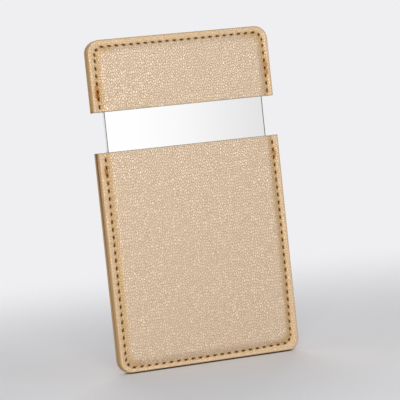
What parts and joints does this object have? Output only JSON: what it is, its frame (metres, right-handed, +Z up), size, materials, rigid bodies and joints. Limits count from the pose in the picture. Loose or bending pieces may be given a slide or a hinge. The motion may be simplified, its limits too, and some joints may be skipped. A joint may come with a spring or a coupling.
{
  "type": "compact mirror",
  "caption": "Flat slide-out pocket mirror: a silvered glass plate fixed in a stitched leatherette cap slides up out of a stitched leatherette sleeve of the same width.",
  "frame": {"origin": "middle of the sleeve's bottom edge, on the surface that the mirror stands on", "axes": "+Z up along the slide, towards the cap; -Y out of the front, where the mirror faces; +X to the right seen from the front"},
  "size_m": [0.065, 0.0072, 0.1135],
  "materials": {
    "leatherette": "champagne gold pearl leatherette with a fine pebble grain",
    "core_board": "grey pressed board with a bevelled rim",
    "suede_lining": "short-nap brown suede cloth",
    "edge_welt": "bonded fibre strip with tan painted edge",
    "seam_thread": "twisted polyester thread, pale gold",
    "mirror_glass": "silvered float glass with ground edges",
    "backing_film": "grey safety film",
    "bonding_tape": "double-sided tissue tape"
  },
  "bodies": {
    "sleeve": {"sleeve_front_skin": "leatherette", "sleeve_front_board": "core_board", "sleeve_front_lining": "suede_lining", "sleeve_front_welt": "edge_welt", "sleeve_front_stitches": "seam_thread", "sleeve_back_skin": "leatherette", "sleeve_back_board": "core_board", "sleeve_back_lining": "suede_lining", "sleeve_back_welt": "edge_welt", "sleeve_back_stitches": "seam_thread"},
    "mirror_slider": {"mirror_glass": "mirror_glass", "mirror_backing_film": "backing_film", "cap_front_skin": "leatherette", "cap_front_board": "core_board", "cap_front_tape": "bonding_tape", "cap_front_welt": "edge_welt", "cap_front_stitches": "seam_thread", "cap_back_skin": "leatherette", "cap_back_board": "core_board", "cap_back_tape": "bonding_tape", "cap_back_welt": "edge_welt", "cap_back_stitches": "seam_thread"}
  },
  "joints": [
    {"name": "mirror_slide", "type": "slide", "parent": "sleeve", "child": "mirror_slider", "axis": [0, 0, 1], "range_m": [-0.0135, 0.0474]}
  ]
}
